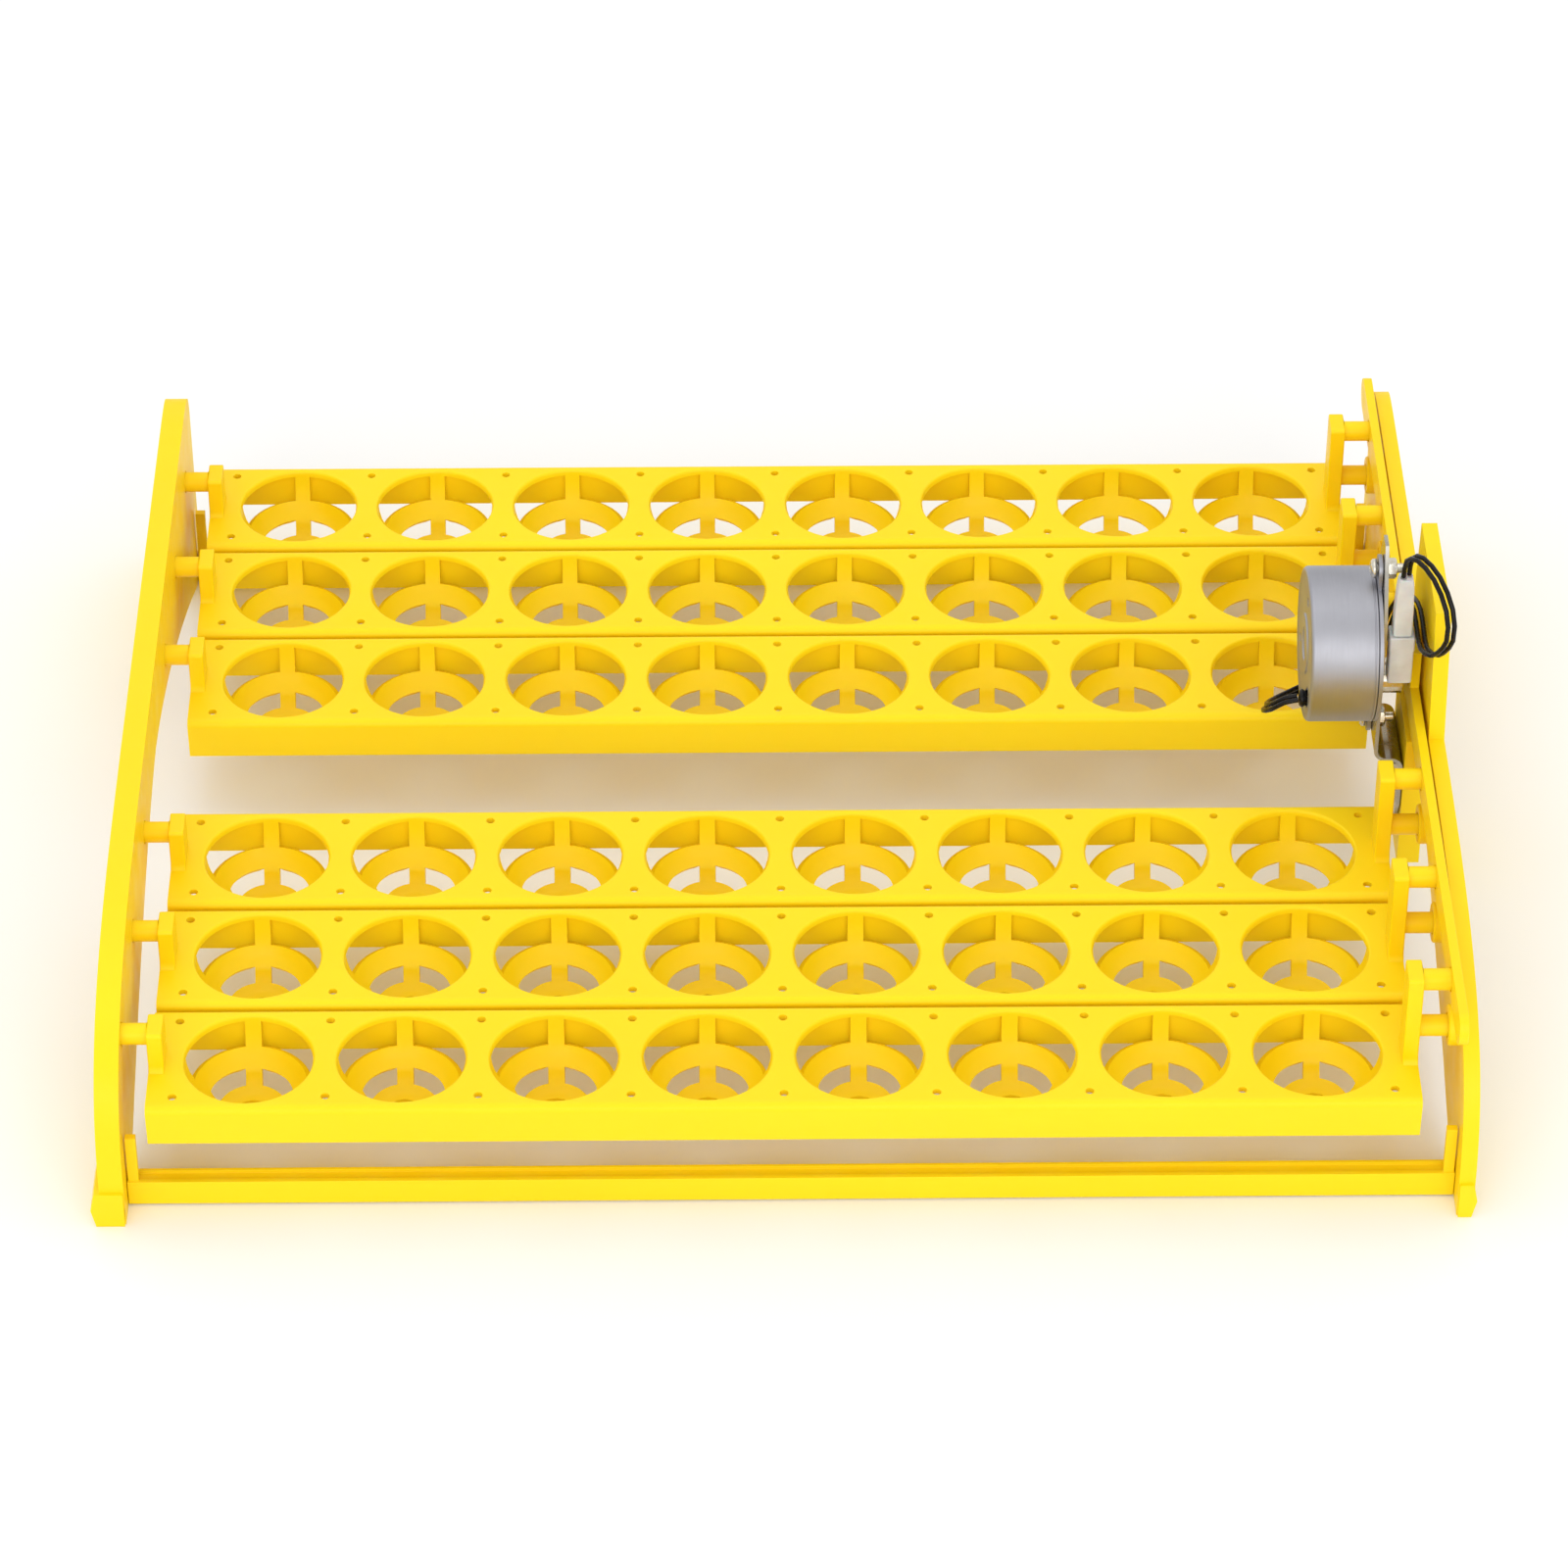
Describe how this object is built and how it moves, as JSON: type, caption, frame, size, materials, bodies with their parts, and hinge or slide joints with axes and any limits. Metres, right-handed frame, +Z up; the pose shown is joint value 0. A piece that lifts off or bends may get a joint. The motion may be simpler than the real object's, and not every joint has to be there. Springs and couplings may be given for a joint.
{
  "type": "egg turning tray",
  "caption": "Free-standing egg turning tray for an incubator: tilting rails of open egg cups on one link bar, rocked by a small side-mounted gear motor.",
  "frame": {"origin": "centre of the footprint on the surface the tray stands on", "axes": "+X runs along the rails towards the motor end, +Y is the back, +Z is up"},
  "size_m": [0.425, 0.344, 0.1377],
  "materials": {
    "tray_plastic": "moulded, satin to gloss",
    "zinc_steel": "zinc plated sheet",
    "motor_steel": "plated pressed can",
    "screw_steel": "zinc plated",
    "lead_sheath": "smooth PVC sheath",
    "connector_nylon": "natural nylon"
  },
  "bodies": {
    "frame": {"side_plate_left": "tray_plastic", "side_plate_right": "tray_plastic", "crossbar_front": "tray_plastic", "crossbar_back": "tray_plastic", "motor_bracket": "zinc_steel", "motor_can": "motor_steel", "motor_face": "motor_steel", "shaft_bearing": "screw_steel", "motor_bolt_top": "screw_steel", "motor_bolt_bottom": "screw_steel", "motor_nut_top": "screw_steel", "motor_nut_bottom": "screw_steel", "bracket_screw_upper": "screw_steel", "bracket_screw_lower": "screw_steel", "connector_socket": "connector_nylon", "connector_plug": "connector_nylon", "lead_grommet": "lead_sheath", "lead_a": "lead_sheath", "lead_b": "lead_sheath"},
    "tilting_rail_1": {"rail_1": "tray_plastic"},
    "tilting_rail_2": {"rail_2": "tray_plastic"},
    "tilting_rail_3": {"rail_3": "tray_plastic"},
    "tilting_rail_4": {"rail_4": "tray_plastic"},
    "tilting_rail_5": {"rail_5": "tray_plastic"},
    "tilting_rail_6": {"rail_6": "tray_plastic"},
    "link": {"link_bar": "tray_plastic"},
    "crank": {"motor_shaft": "screw_steel", "crank_arm": "screw_steel"}
  },
  "joints": [
    {"name": "rail_1_tilt", "type": "hinge", "parent": "frame", "child": "tilting_rail_1", "pos_m": [0, 0.1428, 0.053], "axis": [1, 0, 0], "range_deg": [-30, 30]},
    {"name": "rail_2_tilt", "type": "hinge", "parent": "frame", "child": "tilting_rail_2", "pos_m": [0, 0.0944, 0.053], "axis": [1, 0, 0], "range_deg": [-30, 30]},
    {"name": "rail_3_tilt", "type": "hinge", "parent": "frame", "child": "tilting_rail_3", "pos_m": [0, 0.046, 0.053], "axis": [1, 0, 0], "range_deg": [-30, 30]},
    {"name": "rail_4_tilt", "type": "hinge", "parent": "frame", "child": "tilting_rail_4", "pos_m": [0, -0.046, 0.053], "axis": [1, 0, 0], "range_deg": [-30, 30]},
    {"name": "rail_5_tilt", "type": "hinge", "parent": "frame", "child": "tilting_rail_5", "pos_m": [0, -0.0944, 0.053], "axis": [1, 0, 0], "range_deg": [-30, 30]},
    {"name": "rail_6_tilt", "type": "hinge", "parent": "frame", "child": "tilting_rail_6", "pos_m": [0, -0.1428, 0.053], "axis": [1, 0, 0], "range_deg": [-30, 30]},
    {"name": "link_swing", "type": "hinge", "parent": "tilting_rail_1", "child": "link", "pos_m": [0.2025, 0.1428, 0.0715], "axis": [1, 0, 0], "range_deg": [-30, 30]},
    {"name": "crank_turn", "type": "hinge", "parent": "frame", "child": "crank", "pos_m": [0.1942, 0.003, 0.074], "axis": [1, 0, 0], "range_deg": [-90, 90]}
  ],
  "couplings": [
    {"joint": "rail_2_tilt", "follows": "rail_1_tilt", "ratio": 1},
    {"joint": "rail_3_tilt", "follows": "rail_1_tilt", "ratio": 1},
    {"joint": "rail_4_tilt", "follows": "rail_1_tilt", "ratio": 1},
    {"joint": "rail_5_tilt", "follows": "rail_1_tilt", "ratio": 1},
    {"joint": "rail_6_tilt", "follows": "rail_1_tilt", "ratio": 1},
    {"joint": "link_swing", "follows": "rail_1_tilt", "ratio": -1},
    {"joint": "crank_turn", "follows": "rail_1_tilt", "ratio": 3}
  ]
}
